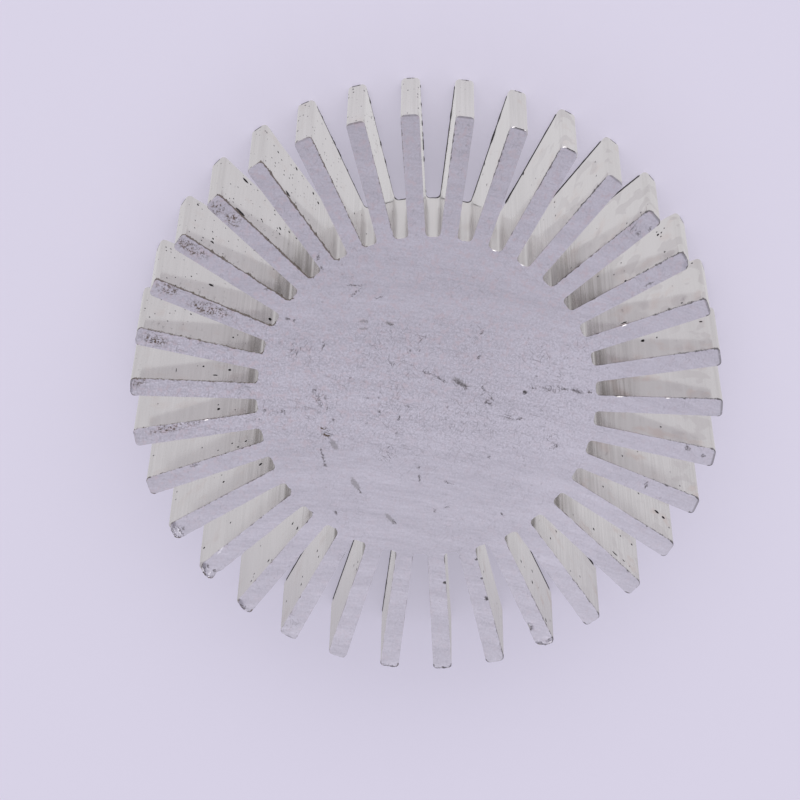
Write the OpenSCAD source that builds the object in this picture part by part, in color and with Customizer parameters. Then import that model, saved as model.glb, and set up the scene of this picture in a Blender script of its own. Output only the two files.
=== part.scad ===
// Sunflower heat sink: one slice sawn off an extruded aluminium bar.
// A solid round core carries straight radial fins, and both ends are flat.
// The bar's axis is Z, the base end lies on z = 0, and one fin points along +X.

/* [Bar] */
// Diameter over the fin tips
outer_d = 60; // [52:0.5:80]
// Diameter of the solid core, across the slot floors
core_d = 34.3; // [26:0.1:40]
// Length of the slice, from one sawn end to the other
length = 12.4; // [4:0.1:60]

/* [Fins] */
// Number of fins around the core
fin_count = 34; // [20:1:38]
// Thickness of a fin where it leaves the core
fin_root_t = 1.72; // [1:0.01:2.2]
// Thickness of a fin at the outside diameter
fin_tip_t = 1.9; // [1:0.01:2.6]

/* [Rounding] */
// Radius on the two long edges of a fin tip
tip_r = 0.45; // [0.1:0.05:0.8]
// Radius in the two corners of a slot floor
slot_r = 0.45; // [0.1:0.05:0.6]

/* [Hidden] */

$fn = 180;

outer_r = outer_d / 2;
core_r = core_d / 2;
pitch = 360 / fin_count;

// In a fin's own section X runs out along the fin and Y runs across it.
// Slope of the upper flank, its direction, and its normal out of the fin
flank_slope = atan((fin_tip_t - fin_root_t) / 2 / (outer_r - core_r));
flank_dir = [cos(flank_slope), sin(flank_slope)];
flank_normal = [-sin(flank_slope), cos(flank_slope)];
// Distance of the flank's line from the bar's axis
flank_offset = flank_normal * [core_r, fin_root_t / 2];

// A tip radius stays within the fin's thickness, and a floor radius within its half of the slot.
tip_r_most = (flank_offset + outer_r * sin(flank_slope)) / (1 + sin(flank_slope));
half_slot = sin(pitch / 2 - flank_slope);
slot_r_most = (core_r * half_slot - flank_offset) / (1 - half_slot);
// Share of the room that a limited radius takes, so that a sliver of flat is left
room_share = 0.98;
tip_round = min(tip_r, room_share * tip_r_most);
slot_round = min(slot_r, room_share * slot_r_most);
// Depth by which a round and the face it runs into overlap, so that they meet in one clean edge
blend_lap = 0.0002;

// Point at a given distance from the bar's axis and a given distance from its line along the flank
function point_along(from_axis, from_line) =
    from_line * flank_normal + sqrt(from_axis ^ 2 - from_line ^ 2) * flank_dir;

// Mirrors a point of the upper flank to the lower one
function on_side(point, side) = [point.x, side * point.y];

// The tip round touches the outside circle from within, and the flank.
tip_centre = point_along(outer_r - tip_round, flank_offset - tip_round);
tip_on_flank = tip_centre + (tip_round - blend_lap) * flank_normal;
// The floor round touches the core from outside, and the flank.
slot_centre = point_along(core_r + slot_round, flank_offset + slot_round);
slot_on_flank = slot_centre - (slot_round - blend_lap) * flank_normal;
slot_on_core = slot_centre * core_r / (core_r + slot_round);

// A fin starts inside the core, so that the two are one solid.
fin_start = core_r / 2;
// The flanks run straight on into the core.
flank_run = tip_on_flank - slot_on_flank;
flank_start = slot_on_flank - fin_start * flank_run / norm(flank_run);
// The blade runs past the outside circle, which then cuts it.
past_tip = tip_centre * (outer_r + tip_round) / (outer_r - tip_round);

// Blade of one fin, with its end cut to the outside circle between the tip rounds
module blade_section() {
    intersection() {
        circle(r = outer_r - blend_lap);
        polygon([
            on_side(flank_start, -1), on_side(tip_on_flank, -1),
            on_side(tip_centre, -1), on_side(past_tip, -1),
            past_tip, tip_centre,
            tip_on_flank, flank_start
        ]);
    }
}

// Round on one long edge of a fin tip
module tip_round_section(side) {
    translate(on_side(tip_centre, side)) circle(r = tip_round);
}

// Foot of one fin, spread over the core and hollowed to the floor radius on both sides
module foot_section() {
    difference() {
        polygon([
            [fin_start, 0],
            on_side(slot_on_core, -1), on_side(slot_centre, -1),
            slot_centre, slot_on_core
        ]);
        for (side = [-1, 1]) translate(on_side(slot_centre, side)) circle(r = slot_round);
    }
}

// One fin with its rounded tip and its spread foot
module fin_section() {
    foot_section();
    blade_section();
    for (side = [-1, 1]) tip_round_section(side);
}

// Section of the bar: the core and its ring of fins
module bar_section() {
    circle(r = core_r + blend_lap);
    for (fin = [0 : fin_count - 1]) rotate(fin * pitch) fin_section();
}

// The slice of bar
module heat_sink() {
    color([0.76, 0.75, 0.77]) linear_extrude(height = length) bar_section();
}

heat_sink();
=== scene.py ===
"""Looks of the sunflower heat sink: one slice of extruded bar with sawn ends.

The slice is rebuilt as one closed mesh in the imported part's frame, with the burred edges, knocked
fin tips, die lines, saw marks and dirt that the smooth solid leaves out. Lengths are in millimetres
until a mesh, a light or the camera is made.
"""
import logging
import math
from collections.abc import Iterator
from dataclasses import dataclass, field
from enum import Enum
from typing import Any

import bpy
import numpy as np
from mathutils import Matrix, Vector


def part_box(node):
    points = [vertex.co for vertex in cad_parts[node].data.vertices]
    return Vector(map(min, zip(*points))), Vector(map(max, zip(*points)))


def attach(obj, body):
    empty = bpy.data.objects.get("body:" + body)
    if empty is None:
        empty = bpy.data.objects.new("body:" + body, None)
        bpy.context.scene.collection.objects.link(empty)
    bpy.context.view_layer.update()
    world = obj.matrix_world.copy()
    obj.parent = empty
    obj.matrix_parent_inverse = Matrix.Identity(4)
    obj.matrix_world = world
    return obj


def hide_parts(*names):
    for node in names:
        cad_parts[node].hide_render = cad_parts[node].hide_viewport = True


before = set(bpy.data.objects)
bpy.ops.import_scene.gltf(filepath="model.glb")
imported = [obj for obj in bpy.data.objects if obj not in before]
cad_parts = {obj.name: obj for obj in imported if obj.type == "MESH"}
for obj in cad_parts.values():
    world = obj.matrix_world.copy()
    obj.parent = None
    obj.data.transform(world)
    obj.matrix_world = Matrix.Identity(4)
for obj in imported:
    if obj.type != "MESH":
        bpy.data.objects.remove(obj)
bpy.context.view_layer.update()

LOG = logging.getLogger("heat_sink")
MM = 0.001
NODE = "heat_sink"
BODY = "root"

# Degrees between the directions that marks on the fins lie in
TURN_STEP = 15
# X over which the dark lines along the edges go from brown to black
BLACK_SIDE = (-8.0, 4.0)

Triple = tuple[float, float, float]
Colour = Triple
Span = tuple[float, float]
Rows = tuple[tuple[float, ...], ...]


class Edge(Enum):
    """Part of the outline that a rim point lies on."""

    CLOCKWISE = -1
    CROWN = 0
    ANTICLOCKWISE = 1
    FLOOR = 2


class MarkKind(Enum):
    """Kind of mark, with the crispness of its outline: wear and dirt, and on the crumpled tips also
    painted shade and painted highlight.
    """

    DIRT = 2.8
    STAIN = 2.0
    BRIGHT = 1.9
    SMUDGE = 3.2
    SPECKLE = 2.1
    SCUFF = 1.5


class Wire:
    """A shader value that takes part in Python arithmetic by adding Math nodes."""

    def __init__(self, bench: "NodeBench", socket: bpy.types.NodeSocket) -> None:
        """Keeps an output socket and the bench that adds nodes behind it."""
        self.bench = bench
        self.socket = socket

    def __add__(self, other: "Wire | float") -> "Wire":
        """Sum of two values."""
        return self.bench.math("ADD", self, other)

    def __sub__(self, other: "Wire | float") -> "Wire":
        """Difference of two values."""
        return self.bench.math("SUBTRACT", self, other)

    def __rsub__(self, other: float) -> "Wire":
        """Difference from a number."""
        return self.bench.math("SUBTRACT", other, self)

    def __mul__(self, other: "Wire | float") -> "Wire":
        """Product of two values."""
        return self.bench.math("MULTIPLY", self, other)

    __radd__ = __add__
    __rmul__ = __mul__

    def most(self, other: "Wire | float") -> "Wire":
        """Larger of two values."""
        return self.bench.math("MAXIMUM", self, other)

    def ramp(self, start: float, end: float) -> "Wire":
        """Takes a smooth step from 0 to 1.

        Args:
            start: value where the step is 0.
            end: value where it is 1, which may be the lower of the two.

        Returns:
            The step.
        """
        settings = {"interpolation_type": "SMOOTHSTEP"}
        inputs = {0: self, 1: start, 2: end}
        if end < start:
            inputs = {0: self, 1: end, 2: start, 3: 1.0, 4: 0.0}
        return Wire(self.bench, self.bench.node("ShaderNodeMapRange", settings, inputs).outputs[0])


class NodeBench:
    """Adds nodes to one node tree."""

    def __init__(self, tree: bpy.types.NodeTree) -> None:
        """Empties the tree."""
        self.tree = tree
        tree.nodes.clear()

    def node(self, kind: str, settings: dict[str, Any] | None = None,
             inputs: dict[str | int, Any] | None = None) -> bpy.types.Node:
        """Adds one node.

        Args:
            kind: Blender's type name of the node.
            settings: options of the node by attribute name, set before its sockets.
            inputs: a wire, number, colour or vector for each socket, by name or index.

        Returns:
            The new node.
        """
        made = self.tree.nodes.new(kind)
        for name, value in (settings or {}).items():
            setattr(made, name, value)
        for name, value in (inputs or {}).items():
            if isinstance(value, Wire):
                self.tree.links.new(value.socket, made.inputs[name])
            else:
                made.inputs[name].default_value = value
        return made

    def math(self, operation: str, *values: "Wire | float", clamp: bool = False) -> Wire:
        """Adds a Math node for an operation on wires and numbers."""
        settings = {"operation": operation, "use_clamp": clamp}
        return Wire(self, self.node("ShaderNodeMath", settings, dict(enumerate(values))).outputs[0])

    def vector(self, operation: str, *values: Any) -> Wire:
        """Adds a Vector Math node and returns its vector."""
        made = self.node("ShaderNodeVectorMath", {"operation": operation}, dict(enumerate(values)))
        return Wire(self, made.outputs["Vector"])

    def length(self, vector: Wire) -> Wire:
        """Length of a vector."""
        made = self.node("ShaderNodeVectorMath", {"operation": "LENGTH"}, {0: vector})
        return Wire(self, made.outputs["Value"])

    def flat(self, vector: Wire) -> Wire:
        """A vector without its height."""
        return self.vector("MULTIPLY", vector, (1, 1, 0))

    def axis(self, vector: Wire, name: str) -> Wire:
        """One component, X, Y or Z, of a vector."""
        return Wire(self, self.node("ShaderNodeSeparateXYZ", inputs={0: vector}).outputs[name])

    def join(self, x: "Wire | float", y: "Wire | float", z: "Wire | float" = 0.0) -> Wire:
        """Vector of three values."""
        return Wire(self, self.node("ShaderNodeCombineXYZ", inputs={0: x, 1: y, 2: z}).outputs[0])

    def place(self) -> Wire:
        """Place on the piece in millimetres."""
        metres = Wire(self, self.node("ShaderNodeTexCoord").outputs["Object"])
        return self.vector("MULTIPLY", metres, (1 / MM,) * 3)

    def mapped(self, vector: Wire, turn: float, size: Triple) -> Wire:
        """Sees a place from a box around the origin.

        Args:
            vector: the place.
            turn: turn of the box about Z, in degrees.
            size: half size of the box.

        Returns:
            The place in the box's own directions and size.
        """
        made = self.node("ShaderNodeMapping", {"vector_type": "TEXTURE"}, {
            "Vector": vector, "Rotation": (0, 0, math.radians(turn)), "Scale": size,
        })
        return Wire(self, made.outputs[0])

    def ellipse(self, place: Wire, centre: Vector, half: Vector, crispness: float) -> Wire:
        """Draws an ellipse: the crispness times what the distance is short of 1, held between 0 and 1.

        Args:
            place: place to draw it on.
            centre: its middle.
            half: its half size, where the distance is 1.
            crispness: steepness of its edge.

        Returns:
            Mask of the ellipse.
        """
        scale = Vector([1 / length for length in half])
        spread = self.vector("MULTIPLY_ADD", place, scale, -centre * scale)
        return self.math("MULTIPLY_ADD", self.length(spread), -crispness, crispness, clamp=True)

    def noise(self, vector: Wire, scale: float, detail: float = 2.0, roughness: float = 0.5) -> Wire:
        """Noise from 0 to 1 over a vector."""
        inputs = {"Vector": vector, "Scale": scale, "Detail": detail, "Roughness": roughness}
        return Wire(self, self.node("ShaderNodeTexNoise", inputs=inputs).outputs[0])

    def ragged(self, vector: Wire, scale: float, reach: float) -> Wire:
        """Shakes a vector by noise, so that what is drawn from it has uneven edges.

        Args:
            vector: vector to shake.
            scale: lumps of the noise to a unit of the vector.
            reach: how far it is shaken.

        Returns:
            The shaken vector.
        """
        shake = self.node("ShaderNodeTexNoise", inputs={"Vector": vector, "Scale": scale, "Detail": 2.0})
        centred = self.vector("SUBTRACT", Wire(self, shake.outputs["Color"]), (0.5,) * 3)
        return self.vector("ADD", vector, self.vector("MULTIPLY", centred, (2 * reach,) * 3))

    def spots(self, vector: Wire, scale: float, radius: float, share: float,
              soft: float = 0.4) -> Wire:
        """Scattered spots.

        Args:
            vector: place to scatter them over, by its X and Y.
            scale: cells to a unit of the vector, with at most one spot in each.
            radius: radius of the largest spot, in cells.
            share: share of the cells that have a spot.
            soft: share of the radius that the edge of a spot fades over.

        Returns:
            Mask of the spots.
        """
        settings = {"voronoi_dimensions": "2D"}
        cells = self.node("ShaderNodeTexVoronoi", settings, {"Vector": vector, "Scale": scale})
        draw = Wire(self, cells.outputs["Color"])
        chance, size = self.axis(draw, "X"), self.axis(draw, "Y")
        inside = size * radius - Wire(self, cells.outputs["Distance"])
        return inside.ramp(0.0, soft * radius) * self.math("LESS_THAN", chance, share)

    def blend(self, share: "Wire | float", first: "Wire | Colour", second: "Wire | Colour") -> Wire:
        """Mixes two colours.

        Args:
            share: share of the second colour, from 0 to 1.
            first: the first colour.
            second: the second colour.

        Returns:
            The mixed colour.
        """
        colours = [c if isinstance(c, Wire) else (*c, 1.0) for c in (first, second)]
        made = self.node("ShaderNodeMix", {"data_type": "RGBA"},
                         {0: share, 6: colours[0], 7: colours[1]})
        return Wire(self, made.outputs[2])

    def attribute(self, name: str) -> Wire:
        """Number stored on the mesh's vertices under a name."""
        made = self.node("ShaderNodeAttribute", {"attribute_name": name})
        return Wire(self, made.outputs["Fac"])

    def bump(self, height: Wire, depth: float, strength: float) -> Wire:
        """Tilts the normal by a height map.

        Args:
            height: the map.
            depth: depth that a height of 1 stands for, in millimetres.
            strength: share of the tilt that is used.

        Returns:
            The tilted normal.
        """
        made = self.node("ShaderNodeBump", inputs={
            "Height": height, "Distance": depth * MM, "Strength": strength,
        })
        return Wire(self, made.outputs[0])

    def metal(self, colour: Wire, roughness: Wire, metallic: Wire, normal: Wire) -> None:
        """Ends the tree in a metal surface.

        Args:
            colour: colour of the surface.
            roughness: its roughness.
            metallic: share of bare metal, the rest being dirt.
            normal: its normal.
        """
        shader = self.node("ShaderNodeBsdfPrincipled", inputs={
            "Base Color": colour, "Roughness": roughness, "Metallic": metallic, "Normal": normal,
            "Specular IOR Level": 0.0,
        })
        self.node("ShaderNodeOutputMaterial", inputs={"Surface": Wire(self, shader.outputs[0])})


def new_material(name: str) -> tuple[bpy.types.Material, NodeBench]:
    """Makes an empty material.

    Args:
        name: name of the material.

    Returns:
        The material, and the bench for its nodes.
    """
    made = bpy.data.materials.new(name)
    made.use_nodes = True
    return made, NodeBench(made.node_tree)


def placed(name: str, data: bpy.types.ID) -> bpy.types.Object:
    """Puts something into the scene.

    Args:
        name: name of the object.
        data: the mesh, lamp or camera that it holds.

    Returns:
        The object.
    """
    made = bpy.data.objects.new(name, data)
    bpy.context.scene.collection.objects.link(made)
    return made


@dataclass(frozen=True)
class BarSection:
    """Section of the bar: a round core and a ring of fins that thicken a little outwards."""

    outer_r: float
    core_r: float = 17.15
    fin_count: int = 34
    fin_root_t: float = 1.72
    fin_tip_t: float = 1.9
    tip_r: float = 0.45
    slot_r: float = 0.45
    fillet_steps: int = 4
    flank_steps: int = 50
    tip_steps: int = 5
    across_steps: int = 6
    floor_steps: int = 4

    @property
    def pitch(self) -> float:
        """Angle from one fin to the next."""
        return 2 * math.pi / self.fin_count

    def flank_frame(self) -> tuple[np.ndarray, np.ndarray, float]:
        """Works out the line of the upper flank of a fin that points along +X.

        Returns:
            The line's direction, its normal out of the fin, and its distance from the axis.
        """
        slope = math.atan2((self.fin_tip_t - self.fin_root_t) / 2, self.outer_r - self.core_r)
        along = np.array([math.cos(slope), math.sin(slope)])
        normal = np.array([-math.sin(slope), math.cos(slope)])
        return along, normal, float(normal @ (self.core_r, self.fin_root_t / 2))

    def upper_flank(self) -> np.ndarray:
        """Upper edge of a fin that points along +X, from the slot floor to the tip's crown.

        A floor round touches the core from outside and the flank. A tip round touches the outside
        circle from within and the flank. The straight flank runs between the two rounds.

        Returns:
            Points in order, one row each.
        """
        along, normal, offset = self.flank_frame()

        def touching(reach: float, lift: float) -> np.ndarray:
            """Point a given distance from the axis, and another from its line along the flank."""
            return lift * normal + math.sqrt(reach**2 - lift**2) * along

        def arc(centre: np.ndarray, radius: float, first: np.ndarray, last: np.ndarray,
                steps: int) -> np.ndarray:
            """Spaces points on a circle.

            Args:
                centre: its centre.
                radius: its radius.
                first: direction of the first point.
                last: direction of the last point.
                steps: number of steps between the two.

            Returns:
                The points, one row each.
            """
            angles = np.unwrap([math.atan2(first[1], first[0]), math.atan2(last[1], last[0])])
            turn = np.linspace(*angles, steps + 1)[:, None]
            return centre + radius * np.hstack([np.cos(turn), np.sin(turn)])

        slot = touching(self.core_r + self.slot_r, offset + self.slot_r)
        tip = touching(self.outer_r - self.tip_r, offset - self.tip_r)
        fillet = arc(slot, self.slot_r, -slot, -normal, self.fillet_steps)
        crown_side = arc(tip, self.tip_r, normal, tip, self.tip_steps)
        share = np.linspace(0, 1, self.flank_steps + 1)[1:-1, None]
        flank = fillet[-1] + share * (crown_side[0] - fillet[-1])
        return np.vstack([fillet, flank, crown_side])

    def fins(self) -> np.ndarray:
        """Lays a grid of points over every fin's end.

        A station's points run straight from the lower to the upper edge, apart from the last
        station, which follows the outside circle.

        Returns:
            The points by fin, station along it, place across it, and X and Y.
        """
        edge = self.upper_flank()
        across = np.linspace(-1, 1, self.across_steps + 1)
        grid = np.stack(np.broadcast_arrays(edge[:, :1], edge[:, 1:] * across), axis=-1)
        grid[-1, :, 0] = np.sqrt(self.outer_r**2 - grid[-1, :, 1] ** 2)
        return self.turned(grid)

    def floors(self) -> np.ndarray:
        """Spaces points along each slot floor, on the core's circle between two fins.

        Returns:
            The points by slot, without the ends that the fins hold.
        """
        foot = self.upper_flank()[0]
        start = math.atan2(foot[1], foot[0])
        angles = np.linspace(start, self.pitch - start, self.floor_steps + 1)[1:-1]
        return self.turned(self.core_r * np.stack([np.cos(angles), np.sin(angles)], axis=-1))

    def run_at(self, fin: int, side: Edge, out: float) -> float:
        """Measures the run along the outline, from the first fin's foot to a point on a wall.

        Args:
            fin: number of the fin.
            side: side of the fin, clockwise or anticlockwise.
            out: distance of the point from the axis.

        Returns:
            The run.
        """
        edge = self.upper_flank()
        climb = np.append(0, np.cumsum(np.linalg.norm(np.diff(edge, axis=0), axis=1)))
        reach = float(np.interp(out, np.linalg.norm(edge, axis=1), climb))
        crown = 2 * self.outer_r * math.asin(edge[-1, 1] / self.outer_r)
        floor = self.core_r * (self.pitch - 2 * math.atan2(edge[0, 1], edge[0, 0]))
        start = fin * (2 * climb[-1] + crown + floor)
        return start + reach if side is Edge.CLOCKWISE else start + 2 * climb[-1] + crown - reach

    def turned(self, points: np.ndarray) -> np.ndarray:
        """Turns copies of some points to every fin.

        Args:
            points: points for the fin along +X, with X and Y as the last index.

        Returns:
            The copies, with the fin as the first index.
        """
        angle = self.pitch * np.arange(self.fin_count)
        turn = np.array([[np.cos(angle), -np.sin(angle)], [np.sin(angle), np.cos(angle)]])
        return np.einsum("ijf,...j->f...i", turn, points)


@dataclass
class EndFace:
    """Grid of quads over one sawn end: every fin, and the core as nested squares drawn out to a disc."""

    section: BarSection
    points: np.ndarray = field(init=False)
    quads: np.ndarray = field(init=False)
    rim: np.ndarray = field(init=False)
    rim_fin: np.ndarray = field(init=False)
    rim_edge: np.ndarray = field(init=False)

    def __post_init__(self) -> None:
        """Numbers the points, joins them by quads and lists the rim anticlockwise."""
        fins, floors = self.section.fins(), self.section.floors()
        fin_ids = np.arange(fins[..., 0].size).reshape(fins.shape[:3])
        floor_ids = fin_ids.size + np.arange(floors[..., 0].size).reshape(floors.shape[:2])
        ring = np.hstack([fin_ids[:, 0, :], floor_ids]).ravel()
        edge = np.vstack([fins.reshape(-1, 2), floors.reshape(-1, 2)])
        core, core_ids = self.core_grid(edge, ring, len(edge))
        self.points = np.vstack([edge, core])
        self.quads = np.vstack([self.cells(core_ids)] + [self.cells(ids) for ids in fin_ids])
        runs = {
            Edge.CLOCKWISE: fin_ids[:, :, 0],
            Edge.CROWN: fin_ids[:, -1, 1:-1],
            Edge.ANTICLOCKWISE: fin_ids[:, ::-1, -1],
            Edge.FLOOR: floor_ids,
        }
        rim = np.hstack(list(runs.values()))
        self.rim = rim.ravel()
        self.rim_fin = np.repeat(np.arange(len(rim)), rim.shape[1])
        one_fin = np.repeat([edge.value for edge in runs], [ids.shape[1] for ids in runs.values()])
        self.rim_edge = np.tile(one_fin, len(rim))

    @staticmethod
    def cells(ids: np.ndarray) -> np.ndarray:
        """Quads of a grid of point numbers, anticlockwise where rows run along X and columns along Y."""
        corners = ids[:-1, :-1], ids[1:, :-1], ids[1:, 1:], ids[:-1, 1:]
        return np.stack(corners, axis=-1).reshape(-1, 4)

    @staticmethod
    def core_grid(edge: np.ndarray, ring: np.ndarray, first: int) -> tuple[np.ndarray, np.ndarray]:
        """Fills the core with nested squares.

        A grid point's square gives its share of the way out from the middle, and its place around
        that square gives the place on the ring that it lies in line with.

        Args:
            edge: points that the ring's numbers refer to.
            ring: numbers of the points around the core, anticlockwise.
            first: number of the first new point.

        Returns:
            The new points inside the ring, and the grid of point numbers with the ring as its border.
        """
        steps = len(ring) // 4
        angles = np.arctan2(edge[ring, 1], edge[ring, 0])
        ring = np.roll(ring, -int(np.argmin(np.abs(angles + math.pi / 4))))
        line = np.linspace(-1, 1, steps + 1)
        a, b = np.meshgrid(line, line, indexing="ij")
        out = np.maximum(np.abs(a), np.abs(b))
        safe = np.where(out > 0, out, 1)
        sides = [a == out, b == out, a == -out]
        around = np.select(sides, [b / safe + 1, 3 - a / safe, 5 - b / safe], 7 + a / safe) / 8
        closed = edge[np.append(ring, ring[0])]
        place = np.linspace(0, 1, len(closed))
        disc = out[..., None] * np.stack([np.interp(around, place, closed[:, k]) for k in (0, 1)], axis=-1)
        ids = np.zeros(a.shape, int)
        ids[1:-1, 1:-1] = first + np.arange((steps - 1) ** 2).reshape(steps - 1, steps - 1)
        ids[-1, :-1], ids[:0:-1, -1], ids[0, :0:-1], ids[:-1, 0] = np.split(ring, 4)
        return disc[1:-1, 1:-1].reshape(-1, 2), ids


def rise(values: np.ndarray, start: float, span: float) -> np.ndarray:
    """Share from 0 to 1 as values go up from a start by a span."""
    return np.clip((values - start) / span, 0, 1)


@dataclass(frozen=True)
class Dent:
    """A knock on a fin's upper end, given in the fin's own directions: out, across and up."""

    fin: int
    centre: Triple
    push: Triple
    radius: float
    falloff: float = 1.5

    def shift(self, points: np.ndarray, pitch: float) -> np.ndarray:
        """Works out a movement: the push, dying away smoothly to nothing at the radius.

        Its share is one minus the square of the distance over the radius, to the power of the
        fall-off.

        Args:
            points: points of the slice, one row each.
            pitch: angle from one fin to the next.

        Returns:
            The movement of each point.
        """
        angle = self.fin * pitch
        turn = np.array([
            [math.cos(angle), -math.sin(angle), 0], [math.sin(angle), math.cos(angle), 0], [0, 0, 1],
        ])
        far = np.linalg.norm(points - turn @ self.centre, axis=1) / self.radius
        return np.clip(1 - far**2, 0, None)[:, None] ** self.falloff * (turn @ self.push)


@dataclass(frozen=True)
class BatteredTip:
    """A fin whose upper end is crumpled at the tip."""

    fin: int
    depth: float
    reach: float = 0.9
    down: float = 0.6
    inward: float = 0.5
    sideways: float = 0.2
    seed: int = 60

    def shift(self, points: np.ndarray, section: BarSection, height: float) -> np.ndarray:
        """Works out a movement: random, inwards and down, growing towards the tip's upper edge.

        It grows evenly with the distance out, over the reach, and with the height, over the way down.

        Args:
            points: points of the slice, one row each.
            section: section of the bar.
            height: height of the upper end.

        Returns:
            The movement of each point.
        """
        angle = self.fin * section.pitch
        out, across = np.array([[math.cos(angle), math.sin(angle)], [-math.sin(angle), math.cos(angle)]])
        far = np.clip((points[:, :2] @ out - section.outer_r) / self.reach + 1, 0, 1)
        near = np.abs(points[:, :2] @ across) < section.fin_tip_t
        high = np.clip((points[:, 2] - height) / self.down + 1, 0, 1)
        draw = np.abs(np.random.default_rng(self.seed + self.fin).standard_normal((len(points), 3)))
        push = -draw[:, :1] * (*(self.inward * out), 0) - draw[:, 1:2] * (0, 0, 1)
        push = push + draw[:, 2:] * (*(self.sideways * across), 0)
        return self.depth * (far * near * high)[:, None] * push


@dataclass(frozen=True)
class EdgeWear:
    """Uneven edges, the dark lines along them and the painted shade along the slot floors, over the points
    of the rim.
    """

    face: EndFace
    core_r: float
    seed: int = 34
    long_lump: int = 7
    mid_lump: int = 5
    short_lump: int = 3
    dash: int = 2
    crown_from: float = 29.45
    wall_to: float = 29.3
    burr_from: float = 18.5
    upper_round: float = 0.012
    lower_round: float = 0.03
    nick_depth: float = 0.05
    nick_rise: Span = (0.82, 0.15)
    burr_height: float = 0.03
    burr_rise: Span = (0.55, 0.3)
    rear_burr_height: float = 0.04
    rear_burr_rise: Span = (0.6, 0.3)
    left_jag: float = 0.05
    other_jag: float = 0.09
    bevel: float = 0.1
    bevel_level: float = 0.8
    floor_bevel_level: float = 0.35
    thick_flap: float = 0.05
    thin_flap: float = 0.03
    flap_swell: float = 0.05
    dot_height: float = 0.06
    dot_rise: Span = (0.58, 0.1)
    waviness: float = 0.012
    band_widths: Span = (1.0, 1.6)
    band_strengths: Span = (0.5, 0.68)
    band_fade: float = 0.12
    lit_shares: Triple = (0.1, 0.4, 1.6)
    dark_and_pale_shares: Span = (1.1, 0.2)
    crown_darkness: float = 0.8
    black_crown_darkness: float = 1.2
    clean_darkness: float = 0.25
    least_darkness: float = 0.5
    brown_fins: tuple[float, ...] = (0.8, 0.9, 1.2, 1.3, 1.05, 1.1, 0.9, 0.87, 0.8, 0.78, 0.75, 0.72)
    first_brown_fin: int = 10
    black_tips: tuple[int, ...] = (17, 19, 20, 21, 22, 25, 26, 28)
    dark_roots: tuple[int, ...] = (0, 3, 4, 13, 30)
    pale_slots: tuple[int, ...] = (2, 5, 14, 21, 31)

    @property
    def reach(self) -> np.ndarray:
        """Distance of each rim point from the axis."""
        return np.linalg.norm(self.face.points[self.face.rim], axis=1)

    def on(self, edge: Edge) -> np.ndarray:
        """Which rim points lie on one part of the outline."""
        return self.face.rim_edge == edge.value

    def fins(self, first: int, last: int) -> np.ndarray:
        """Which rim points lie on the fins from a first to a last."""
        return (self.face.rim_fin >= first) & (self.face.rim_fin <= last)

    def lumps(self, rng: np.random.Generator, width: int) -> np.ndarray:
        """Draws random values and smooths them around the closed rim.

        Args:
            rng: source of the values.
            width: number of points that each value is spread over.

        Returns:
            A value from 0 to 1 for each rim point.
        """
        count = len(self.face.rim)
        window = np.fft.rfft(np.hanning(width + 2)[1:-1], count)
        spread = np.fft.irfft(np.fft.rfft(rng.random(count)) * window, count)
        return (spread - spread.min()) / np.ptp(spread)

    def upper_side(self) -> tuple[np.ndarray, np.ndarray]:
        """Finds the flanks that face +Y.

        Returns:
            Which rim points lie on those left of the axis, and right of it.
        """
        left = self.fins(10, 23) & self.on(Edge.CLOCKWISE)
        right = ~self.fins(10, 26) & self.on(Edge.ANTICLOCKWISE)
        return left, right

    def insets(self) -> tuple[np.ndarray, np.ndarray]:
        """Works out how far the rim is drawn in, with burrs standing out.

        Returns:
            The inset of each rim point at the upper end, and at the lower end.
        """
        rng = np.random.default_rng(self.seed)
        left, _ = self.upper_side()
        burr = rise(self.lumps(rng, self.long_lump), *self.burr_rise)
        nick = rise(self.lumps(rng, self.mid_lump), *self.nick_rise)
        wear = self.nick_depth * nick - self.burr_height * burr * (0.4 + left)
        upper = self.upper_round + wear * np.where(self.on(Edge.CROWN) & self.fins(4, 12), 0.2, 1.0)
        rear_burr = rise(self.lumps(rng, self.long_lump), *self.rear_burr_rise)
        lower = self.lower_round - self.rear_burr_height * rear_burr
        jag = np.where(left, self.left_jag, self.other_jag) * (self.lumps(rng, self.short_lump) - 0.5)
        upper = np.where(self.bevels(), self.bevel, upper + jag * self.fins(18, 30))
        thick = (self.fins(0, 9) & ~self.on(Edge.FLOOR)) | self.fins(24, 25)
        flap = np.where(thick, self.thick_flap, self.thin_flap) + self.flap_swell * burr
        lower = np.where(self.rear_burr(), -flap, lower)
        dots = rise(self.lumps(rng, self.short_lump), *self.dot_rise)
        return upper, np.where(self.rear_dots(), -self.dot_height * dots, lower)

    def bevels(self) -> np.ndarray:
        """Finds where the upper edge is knocked off to a bevel that catches the light.

        Returns:
            Which rim points have the bevel.
        """
        left, right = self.upper_side()
        draw = self.lumps(np.random.default_rng(self.seed + 3), self.dash)
        dashed = (right & self.fins(0, 4)) | (left & self.fins(18, 23))
        floors = self.on(Edge.FLOOR) & self.fins(5, 7)
        crowns = (self.reach > self.crown_from) & self.fins(6, 7)
        dashed &= draw > self.bevel_level
        floors &= draw > self.floor_bevel_level
        return dashed | floors | crowns

    def ripple(self) -> np.ndarray:
        """Small waviness of the drawn walls, the same all along the bar."""
        draw = self.lumps(np.random.default_rng(self.seed + 1), self.mid_lump)
        return self.waviness * (draw - 0.5)

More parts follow.
